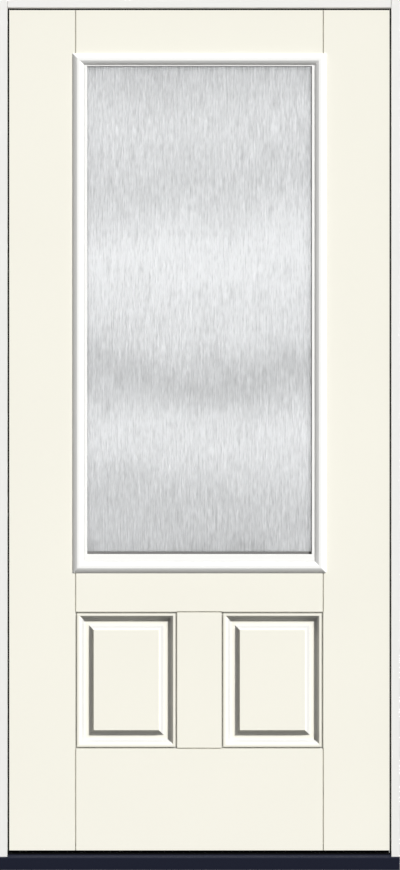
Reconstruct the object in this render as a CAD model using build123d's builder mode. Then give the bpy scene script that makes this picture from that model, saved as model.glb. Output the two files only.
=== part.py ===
"""A prehung fiberglass entrance door: a three-quarter-lite leaf in a rabbeted frame.

Millimetres. X runs left to right as seen from outside, Y runs inward, Z is up.
The origin is on the underside of the sill, midway between the jambs and midway
through their depth. The leaf opens inward on three hinges on the left.
"""
import os
from math import radians, tan

from build123d import *

# Whole unit
unit_width = 952.5
unit_height = 2069.0

# Jambs and head
jamb_depth = 116.0
jamb_leg = 13.6
stop_projection = 6.2
stop_round = 0.8
relief_width = 30.0
relief_depth = 2.0
relief_spacing = 60.0
kerf_width = 3.0
kerf_depth = 10.0
head_joint = 1.0

# Leaf
leaf_thickness = 44.5
edge_gap = 5.4
leaf_low = 44.0
lock_bevel = 3.0
skin = 2.0
stile_width = 40.0
top_rail_height = 38.0
bottom_rail_height = 60.0

# Weatherstrip
seal_depth = 8.0
seal_rest_gap = 0.3
seal_overhang = 3.6
seal_leg_gap = 0.6
seal_round = 2.5
seal_end_gap = 0.3
barb_width = 2.4
barb_depth = 8.5

# Sill
sill_nose = 26.0
nose_height = 30.5
nose_round = 3.5
dam_width = 3.8
dam_height = 34.2
slope_top = 33.2
dam_from_leaf = 7.5
channel_floor = 24.0
rear_lip_width = 3.0
rear_lip_height = 33.0
deck_wall = 2.0
flute_count = 6
flute_spacing = 9.0
flute_width = 2.5
flute_depth = 0.8
cap_top = 37.5
cap_clearance = 0.5
cap_round = 3.0

# Corner pads
pad_height = 50.0
pad_thick = 3.0
pad_thin = 1.0
pad_length = 38.0
pad_clearance = 1.0

# Embossed joints of the moulded skins
joint_x = 295.0
mullion_x = 53.2
panel_low = 287.0
panel_high = 612.2
score_width = 3.0
score_foot = 2.6
score_depth = 2.8

# Moulded panels, measured inward from the joint lines
quirk_centre = 1.8
quirk_width = 4.2
quirk_foot = 3.8
quirk_depth = 5.0
recess_start = 9.4
recess_step = 11.4
recess_depth = 12.0
cove_width = 11.2
cove_rise = 0.4
bevel_width = 11.2
step_bulge = 0.6

# Lite: moulding, lip round the glass and cut-out
lite_half_width = 301.9
lite_low = 705.0
lite_drop = 107.5
moulding_outer = 11.0
moulding_flat = 6.0
moulding_inner = 10.0
moulding_height = 7.5
moulding_edge = 1.0
moulding_bulge = 0.5
lip_height = 1.0
lip_side = 7.5
lip_top = 3.6
lip_bottom = 17.4
lip_chamfer = 0.8
lip_quirk_width = 0.8
lip_quirk_depth = 1.0
cutout_inset = 14.0
frame_in_cutout = 0.5
frame_leg = 3.5
unit_clearance = 6.0
unit_thickness = 25.4
pane = 3.0
gasket = 3.0
gasket_width = 8.0
gasket_sill = 6.5
gasket_lock = 1.0
spacer_inset = 0.5
spacer_width = 7.0

# Sweep under the leaf
sweep_plate = 2.0
sweep_inset = 1.0
sweep_fin = 1.6
sweep_fins = 4
sweep_fin_spacing = 11.0
sweep_gap = 1.0
sweep_barb_width = 2.5
sweep_barb_height = 9.0
sweep_barb_spacing = 20.0
sweep_end_gap = 3.0
sweep_kerf_clearance = 0.3

# Hinges
hinge_height = 101.6
hinge_plate = 2.3
hinge_reach = 38.0
hinge_corner = 15.9
hinge_margin = 0.25
barrel_radius = 6.0
barrel_offset = 7.0
knuckles = 5
knuckle_gap = 0.4
pin_radius = 3.15
pin_clearance = 0.05
pin_head_radius = 5.0
pin_head_height = 3.5
pin_head_chamfer = 1.2
top_hinge_drop = 230.0
bottom_hinge_rise = 330.0

# Places that follow from the sizes
half_unit = unit_width / 2
outside = -jamb_depth / 2
inside = jamb_depth / 2
leg_face = half_unit - jamb_leg
leg_under = unit_height - jamb_leg
leaf_half = leg_face - edge_gap
leaf_high = leg_under - edge_gap
lite_high = leaf_high - lite_drop
leaf_in = inside
leaf_out = inside - leaf_thickness
leaf_mid = (leaf_in + leaf_out) / 2
stop_back = leaf_out - seal_depth
bevel_shift = leaf_thickness * tan(radians(lock_bevel))
dam_front = leaf_out - dam_from_leaf
dam_back = dam_front + dam_width
rear_lip = inside - rear_lip_width
nose = outside - sill_nose
moulding_width = moulding_outer + moulding_flat + moulding_inner
opening_half = lite_half_width - moulding_width - lip_side
opening_low = lite_low + moulding_width + lip_bottom
opening_high = lite_high - moulding_width - lip_top
cutout_half = lite_half_width - cutout_inset
cutout_low = lite_low + cutout_inset
cutout_high = lite_high - cutout_inset
glass_half = cutout_half - unit_clearance
glass_low = cutout_low + unit_clearance
glass_high = cutout_high - unit_clearance
glass_out = leaf_mid - unit_thickness / 2
glass_in = leaf_mid + unit_thickness / 2
hinge_x = -(leaf_half + edge_gap / 2)
hinge_y = leaf_in + barrel_offset
top_hinge = leaf_high - top_hinge_drop
bottom_hinge = leaf_low + bottom_hinge_rise
hinge_centres = {
    "top": top_hinge,
    "middle": (top_hinge + bottom_hinge) / 2,
    "bottom": bottom_hinge,
}
middle_of_leaf = Plane.XZ.offset(-leaf_mid)


def save(piece, name):
    """Label a finished piece and write it as one STEP file."""
    piece.part.label = name
    export_step(piece.part, f"parts/{name}.step")


def face_plane(y):
    """Plane at depth y that looks outward; its own axes are X and Z."""
    return Plane.XZ.offset(-y)


def across_sill(x):
    """Plane at x whose own axes are Y and Z."""
    return Plane.YZ.offset(x)


def rectangle_between(low, high, mode=Mode.ADD):
    """Rectangle from its lowest to its highest corner, in a sketch."""
    with Locations(((low[0] + high[0]) / 2, (low[1] + high[1]) / 2)):
        Rectangle(high[0] - low[0], high[1] - low[1], mode=mode)


def box_between(low, high, mode=Mode.ADD):
    """Box from its lowest to its highest corner, in a part."""
    size = [b - a for a, b in zip(low, high)]
    with Locations([tuple((a + b) / 2 for a, b in zip(low, high))]):
        Box(*size, mode=mode)


os.makedirs("parts", exist_ok=True)


# Sill: outline, aluminium deck, substrate under it and the cap under the leaf


def sill_outline(bottom=0.0):
    """Outer outline of the sill, depth by height, down to the given level."""
    with BuildSketch() as outline:
        with BuildLine():
            Polyline(
                (nose, bottom), (nose, nose_height), (dam_front, slope_top), (dam_front, dam_height),
                (dam_back, dam_height), (dam_back, channel_floor), (rear_lip, channel_floor),
                (rear_lip, rear_lip_height), (inside, rear_lip_height), (inside, bottom), (nose, bottom),
            )
        make_face()
        fillet(outline.vertices().group_by(Axis.X)[0].sort_by(Axis.Y)[-1], nose_round)
    return outline.sketch


with BuildPart() as sill_envelope:
    with BuildSketch(across_sill(-half_unit)):
        add(sill_outline())
    extrude(amount=unit_width)

with BuildPart() as sill_substrate:
    with BuildSketch(across_sill(-half_unit)):
        add(sill_outline(bottom=-deck_wall))
        offset(amount=-deck_wall, mode=Mode.REPLACE)
    extrude(amount=unit_width)
save(sill_substrate, "sill_substrate")

slope_start = nose + nose_round
slope_length = dam_front - slope_start
flutes_centre = (slope_start + dam_front) / 2
slope_rise = (slope_top - nose_height) / (dam_front - nose)
with BuildPart() as sill_deck:
    add(sill_envelope.part)
    add(sill_substrate.part, mode=Mode.SUBTRACT)
    with BuildSketch(across_sill(-half_unit)):
        for number in range(flute_count):
            y = flutes_centre + (number - (flute_count - 1) / 2) * flute_spacing
            with Locations((y, nose_height + slope_rise * (y - nose))):
                Rectangle(flute_width, 2 * flute_depth)
    extrude(amount=unit_width, mode=Mode.SUBTRACT)
save(sill_deck, "sill_deck")

with BuildPart() as sill_cap:
    with BuildSketch(across_sill(cap_clearance - leg_face)) as cap_section:
        rectangle_between((dam_back + cap_clearance, channel_floor), (rear_lip - cap_clearance, cap_top))
        fillet(cap_section.vertices().group_by(Axis.Y)[-1], cap_round)
    extrude(amount=2 * (leg_face - cap_clearance))
save(sill_cap, "sill_cap")


# Jambs and head: one rabbeted section


def jamb_section(outer):
    """Rabbeted section whose back lies at outer along the first axis; the second is depth."""
    face = outer - jamb_leg
    edge = face - stop_projection
    with BuildSketch() as section:
        with BuildLine():
            Polyline(
                (outer, outside), (edge, outside), (edge, stop_back), (face, stop_back),
                (face, inside), (outer, inside), (outer, outside),
            )
        make_face()
        fillet(section.vertices().sort_by(Axis.X)[:2], stop_round)
        with Locations((face - kerf_width / 2, stop_back - kerf_depth / 2)):
            Rectangle(kerf_width, kerf_depth, mode=Mode.SUBTRACT)
        with Locations((outer, -relief_spacing / 2), (outer, relief_spacing / 2)):
            Rectangle(2 * relief_depth, relief_width, mode=Mode.SUBTRACT)
    return section.sketch


def hinge_mortises(x, way):
    """Three shallow pockets for hinge plates, cut from the face at x towards way along X."""
    with BuildPart() as pockets:
        for centre in hinge_centres.values():
            reach = hinge_height / 2 + hinge_margin
            with BuildSketch(across_sill(x)) as outline:
                rectangle_between(
                    (leaf_in - hinge_reach - hinge_margin, centre - reach),
                    (leaf_in + hinge_margin, centre + reach),
                )
                fillet(outline.vertices().group_by(Axis.X)[0], hinge_corner + hinge_margin)
            extrude(amount=way * hinge_plate)
    return pockets.part


with BuildPart() as lock_jamb:
    with BuildSketch():
        add(jamb_section(half_unit))
    extrude(amount=unit_height)
    add(sill_envelope.part, mode=Mode.SUBTRACT)
save(lock_jamb, "lock_jamb")

with BuildPart() as hinge_jamb:
    mirror(lock_jamb.part, about=Plane.YZ)
    add(hinge_mortises(-leg_face, -1), mode=Mode.SUBTRACT)
save(hinge_jamb, "hinge_jamb")


def across_head(x):
    """Plane at x whose own axes are Z and Y; it looks to the left."""
    return Plane(origin=(x, 0, 0), x_dir=(0, 0, 1), z_dir=(-1, 0, 0))


with BuildPart() as head_jamb:
    with BuildSketch(across_head(leg_face)):
        add(jamb_section(unit_height))
    extrude(amount=2 * leg_face)
    for side in (-1, 1):
        cope = sorted((side * leg_face, side * (leg_face - stop_projection - head_joint)))
        box_between(
            (cope[0], outside, leg_under - stop_projection), (cope[1], stop_back, unit_height),
            mode=Mode.SUBTRACT,
        )
save(head_jamb, "head_jamb")


# Weatherstrips: a bulb on a barb that is pressed into the jamb's kerf


def seal_section(face):
    """Weatherstrip section for a jamb whose rabbet face lies at face along the first axis."""
    with BuildSketch() as section:
        rectangle_between(
            (face - stop_projection - seal_overhang, stop_back),
            (face - seal_leg_gap, leaf_out - seal_rest_gap),
        )
        fillet(section.vertices().sort_by(Axis.X)[:2], seal_round)
        barb_centre = face - kerf_width / 2
        rectangle_between(
            (barb_centre - barb_width / 2, stop_back - barb_depth),
            (barb_centre + barb_width / 2, stop_back),
        )
    return section.sketch


seal_foot = cap_top + seal_end_gap
seal_head = leg_under - seal_leg_gap
with BuildPart() as lock_side_weatherstrip:
    with BuildSketch(Plane.XY.offset(seal_foot)):
        add(seal_section(leg_face))
    extrude(amount=seal_head - seal_foot)
save(lock_side_weatherstrip, "lock_side_weatherstrip")

with BuildPart() as hinge_side_weatherstrip:
    mirror(lock_side_weatherstrip.part, about=Plane.YZ)
save(hinge_side_weatherstrip, "hinge_side_weatherstrip")

head_seal_half = leg_face - stop_projection - seal_overhang - seal_end_gap
with BuildPart() as head_weatherstrip:
    with BuildSketch(across_head(head_seal_half)):
        add(seal_section(leg_under))
    extrude(amount=2 * head_seal_half)
save(head_weatherstrip, "head_weatherstrip")

# Corner pads: foam wedges low on each jamb, behind the weatherstrip
pad_start = leaf_out + pad_clearance
with BuildPart() as lock_corner_pad:
    with BuildSketch(Plane.XY.offset(cap_top)):
        with BuildLine():
            Polyline(
                (leg_face, pad_start), (leg_face - pad_thick, pad_start),
                (leg_face - pad_thin, pad_start + pad_length), (leg_face, pad_start + pad_length),
                (leg_face, pad_start),
            )
        make_face()
    extrude(amount=pad_height)
save(lock_corner_pad, "lock_corner_pad")

with BuildPart() as hinge_corner_pad:
    mirror(lock_corner_pad.part, about=Plane.YZ)
save(hinge_corner_pad, "hinge_corner_pad")


# Leaf blank and the rings that are cut in it


def leaf_plan(low, high):
    """Plan of the leaf between two (x, y) corners; the lock edge is bevelled."""
    with BuildSketch() as plan:
        with BuildLine():
            Polyline(
                (-leaf_half, leaf_out), (leaf_half - bevel_shift, leaf_out), (leaf_half, leaf_in),
                (-leaf_half, leaf_in), (-leaf_half, leaf_out),
            )
        make_face()
        rectangle_between(low, high, mode=Mode.INTERSECT)
    return plan.sketch


def ring_section_plane(centre_x, low):
    """Plane across a ring's lower side: first axis towards the middle, second out of the face."""
    return Plane(origin=(centre_x, leaf_out, low), x_dir=(0, 0, 1), z_dir=(1, 0, 0))


def swept_ring(section, centre_x, half_width, low, high):
    """Carry a section round a rectangle with mitred corners, from the middle of its lower side."""
    left, right = centre_x - half_width, centre_x + half_width
    with BuildPart() as ring:
        with BuildSketch(ring_section_plane(centre_x, low)):
            add(section)
        with BuildLine(face_plane(leaf_out)) as path:
            Polyline((centre_x, low), (right, low), (right, high), (left, high), (left, low), (centre_x, low))
        sweep(path=path.wires()[0], transition=Transition.RIGHT)
    return ring.part


def groove_section(centre, top, foot, depth, grow=0.0):
    """Section of a narrow groove below the face; grow gives the same shape one skin deeper."""
    with BuildSketch() as section:
        with BuildLine():
            Polyline(
                (centre - top / 2 - grow, 0), (centre + top / 2 + grow, 0),
                (centre + foot / 2 + grow, -depth - grow), (centre - foot / 2 - grow, -depth - grow),
                (centre - top / 2 - grow, 0),
            )
        make_face()
        if grow:
            rectangle_between(
                (centre - top / 2 - grow, -skin), (centre + top / 2 + grow, 0), mode=Mode.SUBTRACT
            )
    return section.sketch


def recess_section(grow=0.0):
    """Section of a panel's recess below the face; grow gives the same shape one skin deeper."""
    foot = recess_start + recess_step
    cove_end = foot + cove_width
    with BuildSketch() as section:
        with BuildLine():
            Line((recess_start, 0), (cove_end + bevel_width, 0))
            Line((cove_end + bevel_width, 0), (cove_end, cove_rise - recess_depth))
            ThreePointArc(
                (cove_end, cove_rise - recess_depth),
                (foot + cove_width * 0.45, -recess_depth),
                (foot, cove_rise - recess_depth),
            )
            ThreePointArc(
                (foot, cove_rise - recess_depth),
                (recess_start + recess_step / 2 + step_bulge, (cove_rise - recess_depth) / 2 + step_bulge),
                (recess_start, 0),
            )
        make_face()
        if grow:
            offset(amount=grow)
            rectangle_between((0, -skin), (2 * cove_end, grow), mode=Mode.SUBTRACT)
    return section.sketch


def quirk_section(grow=0.0):
    """Section of the groove that draws a panel's outline; grown, it reaches the recess."""
    with BuildSketch() as section:
        add(groove_section(quirk_centre, quirk_width, quirk_foot, quirk_depth, grow))
        if grow:
            rectangle_between((quirk_centre, -quirk_depth - grow), (recess_start, -skin))
    return section.sketch


# Everything that is pressed into the exterior face, and the skin that backs it
panel_half = (joint_x - mullion_x) / 2
panel_centres = (-(joint_x + mullion_x) / 2, (joint_x + mullion_x) / 2)


def panel_rings(section):
    """The ring that one section makes round each of the two panels."""
    with BuildPart() as rings:
        for centre in panel_centres:
            add(swept_ring(section, centre, panel_half, panel_low, panel_high))
    return rings.part


def score(start, end, plane, grow=0.0):
    """Straight groove between two places on the plane's normal; its first axis lies in the face."""
    with BuildPart() as groove:
        with BuildSketch(plane.offset(start)):
            add(groove_section(0, score_width, score_foot, score_depth, grow))
        extrude(amount=end - start)
    return groove.part


def scores(grow=0.0):
    """All the straight joint grooves; grow gives the same shapes one skin deeper."""
    with BuildPart() as grooves:
        for side in (-1, 1):
            upright = Plane(origin=(side * joint_x, leaf_out, 0), x_dir=(-1, 0, 0), z_dir=(0, 0, 1))
            add(score(leaf_low, panel_low, upright, grow))
            add(score(panel_high, leaf_high, upright, grow))
        for level in (panel_low, panel_high):
            along_face = Plane(origin=(0, leaf_out, level), x_dir=(0, 0, 1), z_dir=(1, 0, 0))
            add(score(-mullion_x, mullion_x, along_face, grow))
    return grooves.part


with BuildPart() as face_cuts:
    add(panel_rings(recess_section()))
    add(panel_rings(quirk_section()))
    add(scores())

with BuildPart() as face_backs:
    add(panel_rings(recess_section(grow=skin)))
    add(panel_rings(quirk_section(grow=skin)))
    add(scores(grow=skin))

with BuildPart() as inner_face_cuts:
    mirror(face_cuts.part, about=middle_of_leaf)

with BuildPart() as inner_face_backs:
    mirror(face_backs.part, about=middle_of_leaf)

with BuildPart() as cutout:
    box_between((-cutout_half, leaf_out, cutout_low), (cutout_half, leaf_in, cutout_high))

leaf_mortises = hinge_mortises(-leaf_half, 1)


# Moulded skins


def moulded_skin(depth_low, depth_high, backs, cuts):
    """One face of the leaf: a skin with the panels and joints moulded into it."""
    with BuildPart() as piece:
        with BuildSketch(Plane.XY.offset(leaf_low)):
            add(leaf_plan((-leaf_half, depth_low), (leaf_half, depth_high)))
        extrude(amount=leaf_high - leaf_low)
        add(backs.part)
        add(cuts.part, mode=Mode.SUBTRACT)
        add(cutout.part, mode=Mode.SUBTRACT)
        add(leaf_mortises, mode=Mode.SUBTRACT)
    return piece


exterior_skin = moulded_skin(leaf_out, leaf_out + skin, face_backs, face_cuts)
save(exterior_skin, "exterior_skin")
interior_skin = moulded_skin(leaf_in - skin, leaf_in, inner_face_backs, inner_face_cuts)
save(interior_skin, "interior_skin")

# Stiles, rails and foam between the skins
inner_out = leaf_out + skin
inner_in = leaf_in - skin
inner_half = leaf_half - stile_width

with BuildPart() as hinge_stile:
    with BuildSketch(Plane.XY.offset(leaf_low)):
        add(leaf_plan((-leaf_half, inner_out), (-inner_half, inner_in)))
    extrude(amount=leaf_high - leaf_low)
    add(leaf_mortises, mode=Mode.SUBTRACT)
save(hinge_stile, "hinge_stile")

with BuildPart() as lock_stile:
    with BuildSketch(Plane.XY.offset(leaf_low)):
        add(leaf_plan((inner_half, inner_out), (leaf_half, inner_in)))
    extrude(amount=leaf_high - leaf_low)
save(lock_stile, "lock_stile")

with BuildPart() as top_rail:
    box_between((-inner_half, inner_out, leaf_high - top_rail_height), (inner_half, inner_in, leaf_high))
    add(face_backs.part, mode=Mode.SUBTRACT)
    add(inner_face_backs.part, mode=Mode.SUBTRACT)
save(top_rail, "top_rail")

sweep_barbs = [(0, leaf_mid - sweep_barb_spacing / 2), (0, leaf_mid + sweep_barb_spacing / 2)]
with BuildPart() as bottom_rail:
    box_between((-inner_half, inner_out, leaf_low), (inner_half, inner_in, leaf_low + bottom_rail_height))
    with BuildSketch(Plane.XY.offset(leaf_low)):
        with Locations(*sweep_barbs):
            Rectangle(2 * inner_half, sweep_barb_width + 2 * sweep_kerf_clearance)
    extrude(amount=sweep_barb_height + sweep_kerf_clearance, mode=Mode.SUBTRACT)
    add(face_backs.part, mode=Mode.SUBTRACT)
    add(inner_face_backs.part, mode=Mode.SUBTRACT)
save(bottom_rail, "bottom_rail")

with BuildPart() as foam_core:
    box_between(
        (-inner_half, inner_out, leaf_low + bottom_rail_height),
        (inner_half, inner_in, leaf_high - top_rail_height),
    )
    add(face_backs.part, mode=Mode.SUBTRACT)
    add(inner_face_backs.part, mode=Mode.SUBTRACT)
    add(cutout.part, mode=Mode.SUBTRACT)
save(foam_core, "foam_core")

# Sweep: a plate on two barbs, with fins down to the cap
with BuildPart() as door_bottom_sweep:
    sweep_length = 2 * leaf_half - bevel_shift - 2 * sweep_end_gap
    with BuildSketch(Plane.XY.offset(leaf_low - sweep_plate)):
        with Locations((-bevel_shift / 2, leaf_mid)):
            Rectangle(sweep_length, leaf_thickness - 2 * sweep_inset)
    extrude(amount=sweep_plate)
    with BuildSketch(Plane.XY.offset(cap_top + sweep_gap)):
        with Locations((-bevel_shift / 2, leaf_mid)):
            with GridLocations(sweep_length, sweep_fin_spacing, 1, sweep_fins):
                Rectangle(sweep_length, sweep_fin)
    extrude(amount=leaf_low - sweep_plate - cap_top - sweep_gap)
    with BuildSketch(Plane.XY.offset(leaf_low)):
        with Locations(*sweep_barbs):
            Rectangle(2 * (inner_half - sweep_end_gap), sweep_barb_width)
    extrude(amount=sweep_barb_height)
save(door_bottom_sweep, "door_bottom_sweep")


# Lite: frames screwed together round the insulating glass unit


def lite_section():
    """Moulding on the face and the leg that reaches into the cut-out, as one section."""
    top_end = moulding_outer + moulding_flat
    outer_middle = (moulding_outer / 2, (moulding_edge + moulding_height) / 2)
    inner_middle = (top_end + moulding_inner / 2, (moulding_height + lip_height) / 2)
    with BuildSketch() as section:
        with BuildLine():
            Line((0, 0), (0, moulding_edge))
            ThreePointArc(
                (0, moulding_edge),
                (outer_middle[0] - moulding_bulge, outer_middle[1] + moulding_bulge),
                (moulding_outer, moulding_height),
            )
            Line((moulding_outer, moulding_height), (top_end, moulding_height))
            ThreePointArc(
                (top_end, moulding_height),
                (inner_middle[0] + moulding_bulge, inner_middle[1] + moulding_bulge),
                (moulding_width, lip_height),
            )
            Line((moulding_width, lip_height), (moulding_width, 0))
            Line((moulding_width, 0), (0, 0))
        make_face()
        rectangle_between(
            (cutout_inset + frame_in_cutout, -leaf_thickness / 2),
            (cutout_inset + frame_in_cutout + frame_leg, 0),
        )
    return section.sketch


def window_plan(half_width, low, high, hole_half, hole_low, hole_high, lock_strip=0.0):
    """Upright rectangle with a rectangular hole, which stops a strip short on the lock side."""
    with BuildSketch() as plan:
        rectangle_between((-half_width, low), (half_width, high))
        rectangle_between((-hole_half, hole_low), (hole_half - lock_strip, hole_high), mode=Mode.SUBTRACT)
    return plan.sketch


lip_outset = cutout_inset + frame_in_cutout
lip_back = glass_out - gasket
lip_plan = window_plan(
    lite_half_width - lip_outset, lite_low + lip_outset, lite_high - lip_outset,
    opening_half, opening_low, opening_high,
)
with BuildPart() as lite_lip:
    with BuildSketch(face_plane(lip_back)):
        add(lip_plan)
    extrude(amount=lip_back - leaf_out + lip_height)
    front_face = lite_lip.faces().sort_by(Axis.Y)[0]
    chamfer(front_face.inner_wires()[0].edges(), lip_chamfer)

with BuildSketch() as lip_quirk:
    rectangle_between(
        (moulding_width, lip_height - lip_quirk_depth), (moulding_width + lip_quirk_width, moulding_height)
    )

with BuildPart() as exterior_lite_frame:
    add(swept_ring(lite_section(), 0, lite_half_width, lite_low, lite_high))
    add(lite_lip.part)
    add(swept_ring(lip_quirk.sketch, 0, lite_half_width, lite_low, lite_high), mode=Mode.SUBTRACT)
save(exterior_lite_frame, "exterior_lite_frame")

with BuildPart() as interior_lite_frame:
    mirror(exterior_lite_frame.part, about=middle_of_leaf)
save(interior_lite_frame, "interior_lite_frame")

gasket_plan = window_plan(
    opening_half + gasket_width, opening_low - gasket_width, opening_high + gasket_width,
    opening_half, opening_low + gasket_sill, opening_high, gasket_lock,
)
with BuildPart() as exterior_gasket:
    with BuildSketch(face_plane(glass_out)):
        add(gasket_plan)
    extrude(amount=gasket)
save(exterior_gasket, "exterior_gasket")

with BuildPart() as interior_gasket:
    mirror(exterior_gasket.part, about=middle_of_leaf)
save(interior_gasket, "interior_gasket")

with BuildPart() as outer_glass_pane:
    box_between((-glass_half, glass_out, glass_low), (glass_half, glass_out + pane, glass_high))
save(outer_glass_pane, "outer_glass_pane")

with BuildPart() as inner_glass_pane:
    box_between((-glass_half, glass_in - pane, glass_low), (glass_half, glass_in, glass_high))
save(inner_glass_pane, "inner_glass_pane")

spacer_end = spacer_inset + spacer_width
spacer_plan = window_plan(
    glass_half - spacer_inset, glass_low + spacer_inset, glass_high - spacer_inset,
    glass_half - spacer_end, glass_low + spacer_end, glass_high - spacer_end,
)
with BuildPart() as glass_spacer:
    with BuildSketch(face_plane(glass_in - pane)):
        add(spacer_plan)
    extrude(amount=unit_thickness - 2 * pane)
save(glass_spacer, "glass_spacer")


# Hinges: five knuckles, three on the jamb's leaf and two on the door's
knuckle_length = (hinge_height - (knuckles - 1) * knuckle_gap) / knuckles
knuckle_step = knuckle_length + knuckle_gap


def hinge_leaf(centre, face, way, first):
    """One hinge leaf let into the face at x, with every second knuckle from first upwards."""
    foot = centre - hinge_height / 2
    with BuildPart() as piece:
        with BuildSketch(across_sill(face)) as outline:
            rectangle_between((leaf_in - hinge_reach, foot), (leaf_in, foot + hinge_height))
            fillet(outline.vertices().group_by(Axis.X)[0], hinge_corner)
        extrude(amount=way * hinge_plate)
        for number in range(first, knuckles, 2):
            level = foot + number * knuckle_step
            with BuildSketch(Plane.XY.offset(level)):
                with Locations((hinge_x, hinge_y)):
                    Circle(barrel_radius)
                neck = sorted((face, face + way * hinge_plate))
                rectangle_between((neck[0], leaf_in), (neck[1], hinge_y))
                with Locations((hinge_x, hinge_y)):
                    Circle(pin_radius + pin_clearance, mode=Mode.SUBTRACT)
            extrude(amount=knuckle_length)
    return piece


def hinge_pin(centre):
    """Loose pin with a button head that rests on the top knuckle."""
    foot = centre - hinge_height / 2
    with BuildPart() as piece:
        with BuildSketch(Plane.XY.offset(foot)):
            with Locations((hinge_x, hinge_y)):
                Circle(pin_radius)
        extrude(amount=hinge_height)
        with BuildSketch(Plane.XY.offset(foot + hinge_height)):
            with Locations((hinge_x, hinge_y)):
                Circle(pin_head_radius)
        extrude(amount=pin_head_height)
        chamfer(piece.edges().group_by(Axis.Z)[-1], pin_head_chamfer)
    return piece


for place, centre in hinge_centres.items():
    save(hinge_leaf(centre, -leg_face, -1, 0), f"frame_hinge_leaf_{place}")
    save(hinge_leaf(centre, -leaf_half, 1, 1), f"door_hinge_leaf_{place}")
    save(hinge_pin(centre), f"hinge_pin_{place}")
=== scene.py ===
# %% [markdown]
# An entrance door, dressed for its portrait
#
# The door is a prehung unit: a smooth moulded leaf with a tall window over two raised panels,
# in a white frame on a dark metal sill. Its construction comes as finished solids. This
# lesson gives every surface its finish, models the streaked glass and the small fasteners,
# and sets up the light and the camera. The straight front view is the one to match.

# %% Load the frame
import math

import bmesh
import bpy
from mathutils import Matrix, Vector, noise


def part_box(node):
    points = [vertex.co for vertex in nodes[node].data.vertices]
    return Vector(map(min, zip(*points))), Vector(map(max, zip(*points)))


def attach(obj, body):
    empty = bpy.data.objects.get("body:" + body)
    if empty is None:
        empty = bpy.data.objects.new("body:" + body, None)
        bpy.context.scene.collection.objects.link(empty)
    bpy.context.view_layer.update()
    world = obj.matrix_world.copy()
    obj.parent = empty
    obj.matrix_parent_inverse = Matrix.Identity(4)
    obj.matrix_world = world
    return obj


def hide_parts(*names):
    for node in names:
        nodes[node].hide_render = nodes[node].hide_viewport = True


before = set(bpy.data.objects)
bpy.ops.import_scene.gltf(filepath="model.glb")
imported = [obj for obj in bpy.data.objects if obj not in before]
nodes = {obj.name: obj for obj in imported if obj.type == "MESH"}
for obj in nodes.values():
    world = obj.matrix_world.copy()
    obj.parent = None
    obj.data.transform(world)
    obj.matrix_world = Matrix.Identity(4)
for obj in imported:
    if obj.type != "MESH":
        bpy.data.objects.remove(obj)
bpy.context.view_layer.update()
scene = bpy.context.scene

# %% [markdown]
# A finish is a material: a tree of nodes that ends in one shader. A picture could be wrapped
# round each piece, but every piece would have to be unwrapped first. These trees read Object
# coordinates instead, which here are metres in the door's own frame, so a pattern keeps its
# real size on every piece. What is the same all over a piece is set on the shader's sockets.
# Noise gives the rest its life: it goes into a narrow range of roughness, or into a bump.

# %% Start a finish


class Finish:
    """One material with its shader, and short ways to add to it.

    Further sockets of the shader are given by name, with _ for each space.
    """

    def __init__(self, name, colour, roughness, **sockets):
        self.material = bpy.data.materials.new(name)
        self.material.use_nodes = True
        self.tree = self.material.node_tree
        self.shader = self.tree.nodes["Principled BSDF"]
        self.shader.inputs["Base Color"].default_value = (*colour, 1.0)
        self.shader.inputs["Roughness"].default_value = roughness
        for socket, value in sockets.items():
            self.shader.inputs[socket.replace("_", " ")].default_value = value
        self.place = self.tree.nodes.new("ShaderNodeTexCoord").outputs["Object"]

    def link(self, output, socket):
        """Joins one node's output to another node's socket."""
        self.tree.links.new(output, socket)

    def noise(self, scale, stretch=(1, 1, 1), detail=3.0):
        """Noise of so many features a metre, stretched by the given factors."""
        mapping = self.tree.nodes.new("ShaderNodeMapping")
        mapping.inputs["Scale"].default_value = [1 / s for s in stretch]
        texture = self.tree.nodes.new("ShaderNodeTexNoise")
        texture.inputs["Scale"].default_value = scale
        texture.inputs["Detail"].default_value = detail
        self.link(self.place, mapping.inputs["Vector"])
        self.link(mapping.outputs["Vector"], texture.inputs["Vector"])
        return texture.outputs["Fac"]

    def spread(self, value, low, high, start=0.3, end=0.7):
        """Maps a range, which by default is the middle of a noise, to low and high."""
        node = self.tree.nodes.new("ShaderNodeMapRange")
        node.inputs["From Min"].default_value = start
        node.inputs["From Max"].default_value = end
        node.inputs["To Min"].default_value = low
        node.inputs["To Max"].default_value = high
        self.link(value, node.inputs["Value"])
        return node.outputs["Result"]

    def roughness_between(self, value, low, high):
        """Gives the shader a roughness that runs from low to high."""
        self.link(self.spread(value, low, high), self.shader.inputs["Roughness"])

    def bump(self, value, height):
        """Raises the surface by height metres where the value is 1."""
        node = self.tree.nodes.new("ShaderNodeBump")
        node.inputs["Distance"].default_value = height
        self.link(value, node.inputs["Height"])
        self.link(node.outputs["Normal"], self.shader.inputs["Normal"])


# %% [markdown]
# The window's frame is the plainest finish to begin with: a moulding in a clean white with a
# satin gloss. One dead even colour would look drawn, so a broad noise lets the sheen drift
# and a fine one breaks the skin. Both sides of the window's frame get it.

# %% Lite frame


def paint(finish, *names):
    """Gives a finish to solids of the frame."""
    for name in names:
        mesh = nodes[name].data
        mesh.materials.clear()
        mesh.materials.append(finish.material)
    print(finish.material.name, "on", ", ".join(names))


moulding_white = (0.855, 0.852, 0.832)
moulding = Finish("lite_moulding", moulding_white, 0.36, Specular_IOR_Level=0.3)
moulding.roughness_between(moulding.noise(9.0), 0.32, 0.42)
moulding.bump(moulding.noise(300.0, detail=2.0), 0.00003)
paint(moulding, "exterior_lite_frame", "interior_lite_frame")

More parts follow.
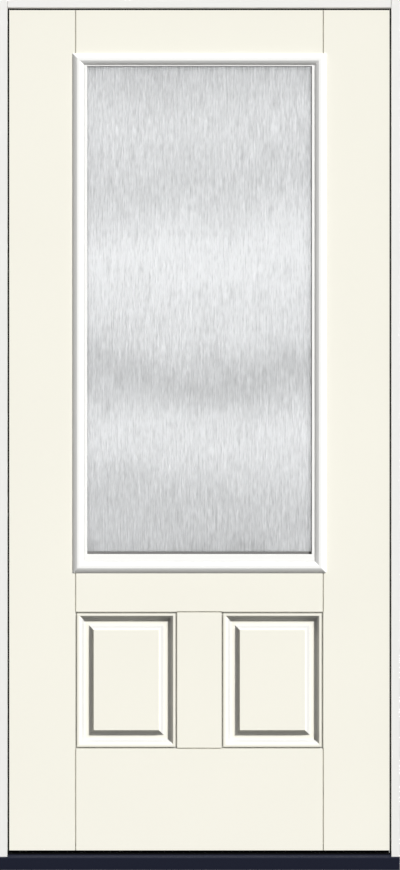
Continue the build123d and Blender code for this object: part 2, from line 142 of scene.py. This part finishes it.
# %% [markdown]
# Jambs and head are finger-jointed wood under factory paint. The brush and the raised grain
# run along each piece. Noise drawn out along one axis looks like both, so the jambs get it
# upright and the head sideways, from one helper.

# %% Frame paint


def drawn_out(axis, factor):
    """Stretch that draws a noise out along one axis."""
    stretch = [1.0, 1.0, 1.0]
    stretch["XYZ".index(axis)] = factor
    return stretch


def frame_paint(name, axis):
    """White paint over wood grain that runs along one axis."""
    finish = Finish(name, frame_white, 0.45, Specular_IOR_Level=0.4)
    grain = finish.noise(260.0, drawn_out(axis, 40.0), detail=4.0)
    finish.roughness_between(grain, 0.40, 0.50)
    finish.bump(grain, 0.00006)
    return finish


frame_white = (0.84, 0.835, 0.81)
paint(frame_paint("jamb_paint", "Z"), "hinge_jamb", "lock_jamb")
paint(frame_paint("head_paint", "X"), "head_jamb")

# %% [markdown]
# The sill is a dark anodised extrusion. Being pushed through a die leaves fine lines along its
# length, and the anodised layer keeps them satin. The lines are again a noise drawn out along
# the piece. The layer hardly mirrors, so the specular level is low.

# %% Sill metal
sill_dark = (0.0140, 0.0160, 0.0285)
sill_metal = Finish("sill_metal", sill_dark, 0.55, Specular_IOR_Level=0.012)
draw_lines = sill_metal.noise(900.0, drawn_out("X", 60.0))
sill_metal.roughness_between(draw_lines, 0.48, 0.62)
sill_metal.bump(draw_lines, 0.00003)
paint(sill_metal, "sill_deck")

# %% [markdown]
# Two more materials make up the sill. The cap that the sweep closes on is a black plastic
# strip, moulded with a matt grain. The substrate under the metal is a coarse brown composite
# that shows only at the ends, so a strong bump is enough to tell it from the rest.

# %% Sill cap and substrate
cap_black = (0.0025, 0.0025, 0.003)
cap_plastic = Finish("cap_plastic", cap_black, 0.65, Specular_IOR_Level=0.02)
cap_plastic.bump(cap_plastic.noise(700.0, detail=2.0), 0.00005)
paint(cap_plastic, "sill_cap")

composite_brown = (0.12, 0.105, 0.09)
substrate = Finish("sill_composite", composite_brown, 0.8)
substrate.bump(substrate.noise(350.0, detail=5.0), 0.0003)
paint(substrate, "sill_substrate")

# %% [markdown]
# Weatherstrips, corner pads and the sweep are black flexible skins. They are matt, with a fine
# grain, and they swallow light. The gaskets that bed the window's frame are a grey foam, whose
# cells are a coarser noise.

# %% Black seals
seal_black = (0.003, 0.003, 0.003)
seal_skin = Finish("seal_skin", seal_black, 0.7, Specular_IOR_Level=0.03)
seal_skin.roughness_between(seal_skin.noise(120.0), 0.55, 0.72)
seal_skin.bump(seal_skin.noise(1500.0, detail=1.0), 0.00004)
seal_nodes = ["hinge_side_weatherstrip", "lock_side_weatherstrip", "head_weatherstrip"]
paint(seal_skin, *seal_nodes, "hinge_corner_pad", "lock_corner_pad", "door_bottom_sweep")

# A thin strip of this foam shows beside the glass on the lock side; its dark grey there is painted
# shade, put in place of the shadow beside the glass.
foam_grey = (0.14, 0.14, 0.135)
gasket_foam = Finish("gasket_foam", foam_grey, 0.7)
gasket_foam.bump(gasket_foam.noise(900.0, detail=2.0), 0.0001)
paint(gasket_foam, "exterior_gasket", "interior_gasket")

# %% [markdown]
# Hinges are satin nickel: steel, brushed along the barrel, with a soft reflection. A metal has
# no colour of its own under a gloss, so Metallic is 1 and the base colour is the reflection's.
# The spacer between the panes is bare aluminium, rolled, with the same finish in a paler tone.

# %% Hinge and spacer metal
nickel_tone = (0.54, 0.525, 0.50)
nickel = Finish("satin_nickel", nickel_tone, 0.32, Metallic=1.0)
brushing = nickel.noise(2200.0, drawn_out("Z", 25.0), detail=2.0)
nickel.roughness_between(brushing, 0.27, 0.40)
nickel.bump(brushing, 0.00002)
hinge_nodes = [name for name in nodes if "hinge_leaf" in name or "hinge_pin" in name]
paint(nickel, *hinge_nodes)

aluminium_tone = (0.62, 0.62, 0.63)
spacer_metal = Finish("spacer_metal", aluminium_tone, 0.4, Metallic=1.0)
spacer_metal.bump(spacer_metal.noise(500.0, drawn_out("Z", 4.0)), 0.00005)
paint(spacer_metal, "glass_spacer")

# %% [markdown]
# The inner pane is clear float glass. A constant transmission and the usual index give
# Fresnel reflections, and a very faint waviness breaks a perfect mirror.

# %% Clear glass
glass_index = 1.5
clear_tint = (0.95, 0.97, 0.965)
clear_glass = Finish("clear_glass", clear_tint, 0.02, Transmission_Weight=1.0, IOR=glass_index)
clear_glass.bump(clear_glass.noise(4.0, detail=1.0), 0.0002)
paint(clear_glass, "inner_glass_pane")

# %% [markdown]
# Some finishes change colour from place to place. The colour could be painted on each face,
# but a rule is easier to keep true: a tree can work out where a point lies or which way it
# faces, do sums with that, and run from one colour to another. This finish adds those steps.

# %% Finishes with more than one colour


class LayeredFinish(Finish):
    """A finish whose colour follows a pattern, a place or the way the surface faces."""

    def along(self, axis):
        """Place along one axis of the door's frame, in metres."""
        node = self.tree.nodes.new("ShaderNodeSeparateXYZ")
        self.link(self.place, node.inputs["Vector"])
        return node.outputs[axis]

    def facing(self, axis):
        """How far the surface faces along one axis of its piece, from -1 to 1."""
        place = self.tree.nodes.new("ShaderNodeTexCoord")
        node = self.tree.nodes.new("ShaderNodeSeparateXYZ")
        self.link(place.outputs["Normal"], node.inputs["Vector"])
        return node.outputs[axis]

    def maths(self, operation, *values):
        """One operation on numbers and outputs."""
        node = self.tree.nodes.new("ShaderNodeMath")
        node.operation = operation
        for socket, value in zip(node.inputs, values):
            if isinstance(value, float):
                socket.default_value = value
            else:
                self.link(value, socket)
        return node.outputs[0]

    def blend(self, value, first, second):
        """Colour that runs from first to second with a value from 0 to 1."""
        node = self.tree.nodes.new("ShaderNodeMix")
        node.data_type = "RGBA"
        for socket, colour in (("A", first), ("B", second)):
            if isinstance(colour, tuple):
                node.inputs[socket].default_value = (*colour, 1.0)
            else:
                self.link(colour, node.inputs[socket])
        self.link(value, node.inputs["Factor"])
        return node.outputs["Result"]

    def colour_between(self, value, first, second):
        """Gives the shader a base colour that runs from first to second."""
        self.link(self.blend(value, first, second), self.shader.inputs["Base Color"])


# %% [markdown]
# Stiles and rails show only at the leaf's edges. They are sealed wood, so the grain is a few
# tones of straw, drawn out along each piece, and the same noise raises it. The foam core
# behind the skins is pale yellow with fine cells.

# %% Edge wood and foam


def edge_wood(name, axis):
    """Sealed softwood with its grain along one axis."""
    finish = LayeredFinish(name, straw_middle, 0.55)
    grain = finish.noise(160.0, drawn_out(axis, 30.0), detail=5.0)
    finish.colour_between(finish.spread(grain, 0.0, 1.0), straw_dark, straw_light)
    finish.bump(grain, 0.00012)
    return finish


straw_dark, straw_middle, straw_light = (0.50, 0.40, 0.27), (0.57, 0.47, 0.335), (0.64, 0.54, 0.40)
paint(edge_wood("stile_wood", "Z"), "hinge_stile", "lock_stile")
paint(edge_wood("rail_wood", "X"), "top_rail", "bottom_rail")

core_yellow = (0.86, 0.79, 0.58)
foam = Finish("core_foam", core_yellow, 0.9)
foam.bump(foam.noise(900.0, detail=3.0), 0.0004)
paint(foam, "foam_core")

# %% [markdown]
# The leaf's skins are moulded glass-fibre sheet with a smooth face, sprayed ivory white.
# Close up, a sprayed face has a very faint orange peel, and its sheen and tone drift a little.
# Three noises do that: a fine one for the bump, broad ones for roughness and tone.

# %% Leaf paint
ivory = (0.907, 0.887, 0.787)
tone_drift = 0.007


def shade(colour, factor):
    """A colour made lighter or darker by a factor."""
    return tuple(min(1.0, part * factor) for part in colour)


leaf_paint = LayeredFinish("leaf_paint", ivory, 0.42, Specular_IOR_Level=0.2)
leaf_paint.roughness_between(leaf_paint.noise(6.0), 0.38, 0.47)
tone = leaf_paint.spread(leaf_paint.noise(2.5, detail=2.0), 0.0, 1.0)
unshaded_paint = leaf_paint.blend(tone, shade(ivory, 1 - tone_drift), shade(ivory, 1 + tone_drift))
leaf_paint.bump(leaf_paint.noise(420.0, detail=2.0), 0.00004)
paint(leaf_paint, "exterior_skin", "interior_skin")

# %% [markdown]
# Down in the narrow grooves and on the steep walls of the panels the paint is given a grey tone.
# This is painted shade: it darkens those places as falling light would. Two measures find them.
# How deep a point lies follows from its distance to the middle of the leaf's thickness, so one
# rule serves both skins, and a wall is where the surface turns away from the face.

# %% Painted shade in the grooves
# Grey of the painted shade in the grooves and on the panel walls.
painted_shade_grey = (0.60, 0.595, 0.575)
shade_start_depth, full_shade_depth = 0.0004, 0.006
groove_depth, groove_fade = 0.0062, 0.0005
wall_turn, face_turn = 0.80, 0.98
skin_low, skin_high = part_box("exterior_skin")[0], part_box("interior_skin")[1]
leaf_middle = (skin_low.y + skin_high.y) / 2
skin_reach = (skin_high.y - skin_low.y) / 2
groove_reach = skin_reach - groove_depth

across = leaf_paint.maths("SUBTRACT", leaf_paint.along("Y"), leaf_middle)
reach = leaf_paint.maths("ABSOLUTE", across)
recess = leaf_paint.spread(
    reach, 1.0, 0.0, skin_reach - full_shade_depth, skin_reach - shade_start_depth
)
turn = leaf_paint.maths("ABSOLUTE", leaf_paint.facing("Y"))
wall = leaf_paint.spread(turn, 1.0, 0.0, wall_turn, face_turn)
groove = leaf_paint.spread(reach, 0.0, 1.0, groove_reach - groove_fade, groove_reach)
# Where the painted shade lies: deep in the leaf, on the walls and in the grooves.
painted_shade = leaf_paint.maths("MULTIPLY", recess, leaf_paint.maths("MAXIMUM", wall, groove))
leaf_paint.colour_between(painted_shade, unshaded_paint, painted_shade_grey)
print("leaf thickness:", round(2 * skin_reach, 4))

# %% [markdown]
# The outer pane is cast with upright streaks like rain. A bump alone would leave its outline
# and its reflections flat, so the streaks are real: the face is a fine grid whose points are
# pushed out by noise that changes fast across the pane and slowly up it. Real streaks wander,
# start and stop, so one slow noise leans them and a coarser one fades them in and out.

# %% Streak height
streaks_per_metre, streak_length = 330.0, 0.024
coarse_per_metre, coarse_length = 0.45 * streaks_per_metre, 1.5 * streak_length
middle_height, fine_share, coarse_share = 0.5, 0.4, 0.15
drift, drifts_across, drifts_up = 0.0012, 20.0, 6.0
drift_seed, fine_seed, coarse_seed = 7.0, 0.0, 3.0


def streak_height(x, z):
    """Height of the cast streaks at a place on the pane, from 0 to 1."""
    lean = x + drift * noise.noise(Vector((x * drifts_across, drift_seed, z * drifts_up)))
    fine = noise.noise(Vector((lean * streaks_per_metre, fine_seed, z / streak_length)))
    coarse = noise.noise(Vector((lean * coarse_per_metre, coarse_seed, z / coarse_length)))
    return middle_height + fine_share * fine + coarse_share * coarse


print("streak height at the middle:", round(streak_height(0.0, 1.0), 3))

# %% [markdown]
# The pane itself starts as a grid a metre wide, which is scaled to the pane, stood upright and
# put in its place. Its rim is pushed back to the pane's thickness and closed with one face, so
# the glass is a true solid. Then the points of the face follow the streaks.

# %% Streaked pane
streak_columns, streak_rows = 540, 165
streak_depth = 0.0006
half_metre = 0.5
pane_low, pane_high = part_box("outer_glass_pane")
pane_size = pane_high - pane_low
pane_centre = (pane_low + pane_high) / 2
upright = Matrix.Rotation(math.radians(90), 3, "X")


def points_of(geometry):
    """The points among what an operator made."""
    return [item for item in geometry if isinstance(item, bmesh.types.BMVert)]


shape = bmesh.new()
bmesh.ops.create_grid(
    shape, x_segments=streak_columns, y_segments=streak_rows, size=half_metre
)
bmesh.ops.scale(shape, vec=(pane_size.x, pane_size.z, 1.0), verts=shape.verts)
bmesh.ops.rotate(shape, cent=(0, 0, 0), matrix=upright, verts=shape.verts)
bmesh.ops.translate(shape, vec=(pane_centre.x, pane_low.y, pane_centre.z), verts=shape.verts)
face_points = shape.verts[:]
rim = [edge for edge in shape.edges if edge.is_boundary]
back_points = points_of(bmesh.ops.extrude_edge_only(shape, edges=rim)["geom"])
bmesh.ops.translate(shape, vec=(0, pane_size.y, 0), verts=back_points)
bmesh.ops.contextual_create(shape, geom=[edge for edge in shape.edges if edge.is_boundary])
for point in face_points:
    depth = streak_depth * (1.0 - streak_height(point.co.x, point.co.z))
    point.co.y = pane_low.y + min(max(depth, 0.0), 2 * streak_depth)
print("streaked pane:", len(face_points), "points on its face")

# %% [markdown]
# A shape becomes a piece when its mesh hangs on an object. The object stays at the origin and
# unturned, with its place in its mesh, so that patterns on Object coordinates keep to the
# door's frame. Here the face is shaded smooth, and the sides stay flat. The pane then takes
# the place of the plain one and rides on the leaf.

# %% Put the pane in the leaf
least_facing = 0.5


def outward(shape):
    """Turns a shape's faces outwards, and says whether it is closed."""
    bmesh.ops.recalc_face_normals(shape, faces=shape.faces)
    return all(edge.is_manifold for edge in shape.edges)


def object_from(name, shape):
    """Hangs a finished shape on an object at the origin."""
    mesh = bpy.data.meshes.new(name)
    shape.to_mesh(mesh)
    shape.free()
    item = bpy.data.objects.new(name, mesh)
    scene.collection.objects.link(item)
    return item


closed = outward(shape)
streaked_pane = object_from("streaked_pane", shape)
for face in streaked_pane.data.polygons:
    face.use_smooth = len(face.vertices) == 4 and abs(face.normal.y) > least_facing
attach(streaked_pane, "leaf")
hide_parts("outer_glass_pane")
print("streaked_pane closed:", closed, "faces:", len(streaked_pane.data.polygons))

# %% [markdown]
# Light that comes through the streaks is scattered, so the glass is rough and shows no view. The
# soft bands of lighter and darker grey, one above the other, are painted light: they stand in for
# the brightness of the surroundings seen through the panes. A colour ramp up the pane paints the
# bands, and a slow noise bends them. A little of the shader stays opaque, as sandblasted glass
# does.

# %% Painted bands of light in the glass
streaked_glass = LayeredFinish(
    "streaked_glass", (0.86, 0.86, 0.87), 0.3, Transmission_Weight=0.93, IOR=glass_index
)
# Tones of the painted bands of light, from the bottom of the pane to its top.
painted_band_tones = (
    (0.0, 0.60),
    (0.09, 0.71),
    (0.26, 0.89),
    (0.38, 0.67),
    (0.48, 0.86),
    (0.59, 0.945),
    (0.76, 0.75),
    (0.87, 0.80),
    (1.0, 0.68),
)
band_bend = 0.05
near_the_end = 0.999
painted_bands = streaked_glass.tree.nodes.new("ShaderNodeValToRGB")
painted_bands.color_ramp.interpolation = "EASE"
for place, tone in painted_band_tones[2:]:
    painted_bands.color_ramp.elements.new(min(place, near_the_end))
for stop, (place, tone) in zip(painted_bands.color_ramp.elements, painted_band_tones):
    stop.position = place
    stop.color = (tone, tone, tone, 1.0)
bend = streaked_glass.spread(streaked_glass.noise(3.0, detail=2.0), -band_bend, band_bend)
bent_height = streaked_glass.maths("ADD", streaked_glass.along("Z"), bend)
up_the_pane = streaked_glass.spread(bent_height, 0.0, 1.0, pane_low.z, pane_high.z)
streaked_glass.link(up_the_pane, painted_bands.inputs["Fac"])
print("bands in the glass:", len(painted_band_tones))

# %% [markdown]
# Over the painted bands lie fine streaks, lighter and darker. Their tones are painted light and
# shade, standing in for the way the real streaks bend the light that comes through. Two noises
# drawn out upright, one short and one long, are multiplied, so that some streaks end while others
# run on, and a finer one is the bump.

# %% Streaks in the glass, with their painted light
glass_dark, glass_pale = (0.0, 0.0, 0.0), (0.985, 0.985, 1.0)
short_noise = streaked_glass.noise(340.0, drawn_out("Z", 7.0), detail=1.0)
long_noise = streaked_glass.noise(300.0, drawn_out("Z", 20.0), detail=1.0)
short_streaks = streaked_glass.spread(short_noise, 0.81, 1.19)
long_streaks = streaked_glass.spread(long_noise, 0.80, 1.20)
# The product of the two noises is painted light and shade along the streaks.
painted_streak_light = streaked_glass.maths("MULTIPLY", short_streaks, long_streaks)
# Painted light of the bands and the streaks together, as the glass's tint.
painted_glass_light = streaked_glass.maths("MULTIPLY", painted_bands.outputs["Color"], painted_streak_light)
streaked_glass.colour_between(painted_glass_light, glass_dark, glass_pale)
streaked_glass.bump(streaked_glass.noise(500.0, drawn_out("Z", 14.0)), 0.0003)
streaked_pane.data.materials.append(streaked_glass.material)
print("streaked_glass on", streaked_pane.name)

# %% [markdown]
# Every screw here has a flat head with a recess in the shape of a cross. A round disc with a
# painted cross would look flat close up, so one head is modelled: a disc whose top has a hole
# in the shape of the cross. The hole's edge is pushed in and floored, and the rim is drawn
# down to a wider foot. Its measures are shares of the head's radius and height, so one helper
# makes every size.

# %% Screw head
head_sides = 28
top_share = 0.86
cross_reach, cross_half_width = 0.55, 0.13
foot_drop, cross_drop = 1.4, 0.8


def cross_outline(arm, half_width):
    """Corners of an upright cross, in order round it."""
    corner = [(half_width, arm), (half_width, half_width), (arm, half_width)]
    turns = [Matrix.Rotation(-math.radians(90 * number), 2) for number in range(4)]
    return [turn @ Vector(point) for turn in turns for point in corner]


def add_screw_head(shape, place, facing, radius, height):
    """Adds one closed head: its foot lies at place and its top looks along facing."""
    rim = bmesh.ops.create_circle(shape, segments=head_sides, radius=top_share * radius)["verts"]
    rim_edges = list(dict.fromkeys(edge for point in rim for edge in point.link_edges))
    corners = cross_outline(cross_reach * radius, cross_half_width * radius)
    cross = [shape.verts.new((*point, 0.0)) for point in corners]
    cross_edges = [shape.edges.new(pair) for pair in zip(cross, cross[1:] + cross[:1])]
    bmesh.ops.triangle_fill(shape, use_beauty=True, edges=rim_edges + cross_edges)
    points = rim + cross
    walls = ((rim_edges, foot_drop, 1 / top_share), (cross_edges, cross_drop, 1.0))
    for edges, drop, widen in walls:
        wall = bmesh.ops.extrude_edge_only(shape, edges=edges)["geom"]
        foot = points_of(wall)
        bmesh.ops.scale(shape, vec=(widen, widen, 1.0), verts=foot)
        bmesh.ops.translate(shape, vec=(0, 0, -drop * height), verts=foot)
        edges_of_wall = [item for item in wall if isinstance(item, bmesh.types.BMEdge)]
        loop = [edge for edge in edges_of_wall if edge.is_boundary]
        bmesh.ops.contextual_create(shape, geom=loop)
        points += foot
    turn = Vector(facing).to_track_quat("Z", "Y").to_matrix().to_4x4()
    top = Matrix.Translation(Vector(place) + height * Vector(facing))
    bmesh.ops.transform(shape, matrix=top @ turn, verts=points)


print("cross recess:", len(cross_outline(cross_reach, cross_half_width)), "corners")

# %% [markdown]
# Screws hold the hinges: four in each leaf, staggered so that they don't split one line of
# the wood, and a little proud. Those on the door's edge ride with the door, those on the jamb
# stay, so each set is one piece of its own.

# %% Hinge screws


def fastener_piece(name, shape, finish, body):
    """Turns the shape into one piece with a finish, which rides a body."""
    closed = outward(shape)
    piece = object_from(name, shape)
    piece.data.materials.append(finish.material)
    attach(piece, body)
    print(name, "closed:", closed, "faces:", len(piece.data.polygons))


hinge_head_radius, hinge_head_height = 0.0043, 0.0006
# Each screw: its rise above the hinge's middle, and its distance from the room face.
screw_places = ((0.0380, 0.0260), (0.0135, 0.0125), (-0.0135, 0.0260), (-0.0380, 0.0125))
hinge_boxes = [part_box(f"door_hinge_leaf_{place}") for place in ("bottom", "middle", "top")]
hinge_levels = [(low.z + high.z) / 2 for low, high in hinge_boxes]
door_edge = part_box("hinge_stile")[0].x
edge_gap = 0.0054
room_face = skin_high.y
for name, x, facing, body in (
    ("leaf_hinge_screws", door_edge, (-1, 0, 0), "leaf"),
    ("jamb_hinge_screws", door_edge - edge_gap, (1, 0, 0), "frame"),
):
    shape = bmesh.new()
    for level in hinge_levels:
        for rise, inset in screw_places:
            place = (x, room_face - inset, level + rise)
            add_screw_head(shape, place, facing, hinge_head_radius, hinge_head_height)
    fastener_piece(name, shape, nickel, body)

# %% [markdown]
# Five smaller screws, spread along the sill, adjust the height of its cap. They are blackened
# steel, nearly flush, and use the same head.

# %% Sill cap screws
blackened_tone = (0.05, 0.05, 0.055)
blackened_steel = Finish("blackened_steel", blackened_tone, 0.45, Metallic=1.0)
blackened_steel.bump(blackened_steel.noise(1200.0, detail=2.0), 0.00003)
cap_head_radius, cap_head_height = 0.0036, 0.0002
cap_screw_spacing = 0.19
cap_low, cap_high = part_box("sill_cap")
cap_middle = (cap_low.y + cap_high.y) / 2
shape = bmesh.new()
for step in (-2, -1, 0, 1, 2):
    place = (step * cap_screw_spacing, cap_middle, cap_high.z)
    add_screw_head(shape, place, (0, 0, 1), cap_head_radius, cap_head_height)
fastener_piece("cap_screws", shape, blackened_steel, "frame")

# %% [markdown]
# The window's two frames are screwed together from the room side. Small white plugs fill the
# screw holes on the flat of the inner moulding: five up each side, two along each end. Each
# is a low cone with its tip cut off, laid on its back.

# %% Screw plugs
plug_radius, plug_height, plug_taper, plug_sides = 0.0024, 0.0003, 0.8, 24
flat_inset = 0.014
plug_rows, first_row = 5, 0.09
end_plug_x = 0.13
moulding_low, moulding_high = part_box("interior_lite_frame")
row_gap = (moulding_high.z - moulding_low.z - 2 * first_row) / (plug_rows - 1)
side_levels = [moulding_low.z + first_row + row * row_gap for row in range(plug_rows)]
end_levels = (moulding_low.z + flat_inset, moulding_high.z - flat_inset)
side_x = moulding_high.x - flat_inset
plug_places = [(side * side_x, level) for side in (-1, 1) for level in side_levels]
plug_places += [(side * end_plug_x, level) for side in (-1, 1) for level in end_levels]

laid_back = Matrix.Rotation(math.radians(-90), 3, "X")
shape = bmesh.new()
for x, z in plug_places:
    plug = bmesh.ops.create_cone(
        shape,
        cap_ends=True,
        segments=plug_sides,
        radius1=plug_radius,
        radius2=plug_taper * plug_radius,
        depth=2 * plug_height,
    )["verts"]
    bmesh.ops.rotate(shape, cent=(0, 0, 0), matrix=laid_back, verts=plug)
    bmesh.ops.translate(shape, vec=(x, moulding_high.y, z), verts=plug)
fastener_piece("screw_plugs", shape, moulding, "leaf")

# %% [markdown]
# The studio is plain: a pale floor under a white world. A real pale floor throws light up onto
# the door and flattens its mouldings. The Light Path node avoids that by telling rays apart:
# what the camera, a reflection or the glass sees is pale, and stray light finds almost
# nothing. The floor still catches the door's shadow.

# %% Floor
floor_pale, floor_dark = (0.90, 0.90, 0.90), (0.02, 0.02, 0.02)
floor_half_width = 30.0


def seen_directly(tree):
    """Value that is 1 for what the camera, a reflection or glass sees, and 0 for stray light."""
    rays = tree.nodes.new("ShaderNodeLightPath")
    value = rays.outputs["Is Camera Ray"]
    for kind in ("Is Glossy Ray", "Is Transmission Ray"):
        node = tree.nodes.new("ShaderNodeMath")
        node.operation = "MAXIMUM"
        tree.links.new(value, node.inputs[0])
        tree.links.new(rays.outputs[kind], node.inputs[1])
        value = node.outputs[0]
    return value


shape = bmesh.new()
bmesh.ops.create_grid(shape, x_segments=1, y_segments=1, size=floor_half_width)
floor = object_from("floor", shape)
floor_finish = LayeredFinish("floor", floor_pale, 0.9, Specular_IOR_Level=0.1)
floor_finish.colour_between(seen_directly(floor_finish.tree), floor_dark, floor_pale)
floor.data.materials.append(floor_finish.material)
print("floor:", 2 * floor_half_width, "metres wide")

# %% [markdown]
# The world is the white behind everything. The same rule holds it back: it is white where it
# is seen, and only a trace of it fills the shadows. The Standard view transform shows colours
# as they are, which suits a plain studio.

# %% World
white_level, fill_level = 1.0, 0.04
scene.view_settings.view_transform = "Standard"
sky = bpy.data.worlds.new("studio")
sky.use_nodes = True
scene.world = sky
sky_tree = sky.node_tree
background = sky_tree.nodes["Background"]
background.inputs["Color"].default_value = (1.0, 1.0, 1.0, 1.0)
level = sky_tree.nodes.new("ShaderNodeMapRange")
level.inputs["To Min"].default_value = fill_level
level.inputs["To Max"].default_value = white_level
sky_tree.links.new(seen_directly(sky_tree), level.inputs["Value"])
sky_tree.links.new(level.outputs["Result"], background.inputs["Strength"])
print("world:", white_level, "where it is seen,", fill_level, "as fill")

# %% [markdown]
# Broad distant lamps stand for the studio's soft boxes. The key comes from the upper right at
# the steep slant that draws each bevel, and a second lamp from behind lights the room side.
# One from each side stands a little behind the face, where it reaches the leaf only when that
# is open. The floor has its own softer lamp, and a weak one from the lower left keeps the
# shaded slopes of the window's moulding pale. A sun has no place, only a direction, so the
# light is as even at the sill as at the head. The levels add up to about one on each face, so
# a colour renders about as it is written.

# %% Lamps


def sun(name, direction, energy, angle):
    """Broad distant lamp that shines from a direction."""
    data = bpy.data.lights.new(name, "SUN")
    data.energy = energy
    data.angle = math.radians(angle)
    lamp = bpy.data.objects.new(name, data)
    lamp.rotation_euler = Vector(direction).to_track_quat("Z", "Y").to_euler()
    scene.collection.objects.link(lamp)
    return lamp


# Each lamp: where its light comes from, its strength, and its spread in degrees.
lamp_settings = {
    "key": ((0.555, -0.557, 0.615), 5.50, 6),
    "back_key": ((-0.55, 0.78, 0.30), 3.5, 20),
    "frame_key": ((0.0, -0.95, 0.30), 2.94, 20),
    "right_key": ((0.96, 0.12, 0.20), 1.95, 20),
    "left_key": ((-0.96, 0.12, 0.20), 1.95, 20),
    "floor_key": ((0.35, -0.35, 0.87), 2.4, 35),
    "moulding_fill": ((-0.75, -0.50, -0.43), 0.60, 20),
}
lamps = {name: sun(name, *setting) for name, setting in lamp_settings.items()}
print("lamps:", ", ".join(lamps))

# %% [markdown]
# Light linking says which lamp lights what. Jambs and head stand out in front of the leaf, so
# the key would put them out of step with it and drop their shadow on it: they get a lamp from
# the front instead. Black seals and sill keep out of the side lamps, which would grey them.
# The white jambs are hidden from stray light too, which would make the leaf glow beside them.

# %% Which lamp lights what


def group_of(name, objects):
    """Collection of these objects, for a lamp that lights them alone."""
    group = bpy.data.collections.new(name)
    for item in objects:
        group.objects.link(item)
    return group


def leave_out(name, objects):
    """Collection for a lamp that leaves these objects out and keeps all others."""
    group = group_of(name, objects)
    for item in group.collection_objects:
        item.light_linking.link_state = "EXCLUDE"
    return group


frame_pieces = [nodes[name] for name in ("hinge_jamb", "lock_jamb", "head_jamb")]
seals = [nodes[name] for name in seal_nodes]
dark_pieces = [nodes["sill_deck"], nodes["sill_cap"]] + seals
lit_alone = {
    "frame_key": frame_pieces,
    "floor_key": [floor],
    "moulding_fill": [nodes["exterior_lite_frame"]],
}
not_lit = {
    "key": frame_pieces + [floor],
    "right_key": dark_pieces + [floor],
    "left_key": dark_pieces + frame_pieces + [floor],
}
no_shadow = {"key": frame_pieces + seals, "moulding_fill": [floor]}
for name, pieces in lit_alone.items():
    lamps[name].light_linking.receiver_collection = group_of("lit_by_" + name, pieces)
for name, pieces in not_lit.items():
    lamps[name].light_linking.receiver_collection = leave_out("not_lit_by_" + name, pieces)
for name, pieces in no_shadow.items():
    lamps[name].light_linking.blocker_collection = leave_out("no_shadow_from_" + name, pieces)
for piece in frame_pieces:
    piece.visible_diffuse = False
print("linked lamps:", ", ".join(sorted({*lit_alone, *not_lit, *no_shadow})))

# %% [markdown]
# The picture is a straight front view with next to no perspective, so a long lens stands far
# back. Its distance follows from the size of one pixel on the door's face, and its place from
# the column of the door's middle and the row of the sill's foot.

# %% Camera
unit_width = 0.9525
image_width, image_height = 400, 870
unit_middle_column, sill_row = 199.4, 869.0
metres_per_pixel = unit_width / image_width
camera_data = bpy.data.cameras.new("camera")
camera_data.lens = 500.0
camera_data.sensor_width = 36.0
camera_data.clip_end = 100.0
distance = camera_data.lens * image_height * metres_per_pixel / camera_data.sensor_width
camera = bpy.data.objects.new("camera", camera_data)
camera.location = (
    (image_width / 2 - unit_middle_column) * metres_per_pixel,
    -distance,
    (sill_row - image_height / 2) * metres_per_pixel,
)
camera.rotation_euler = (math.radians(90), 0, 0)
scene.collection.objects.link(camera)
scene.camera = camera
print("camera distance:", round(distance, 2))
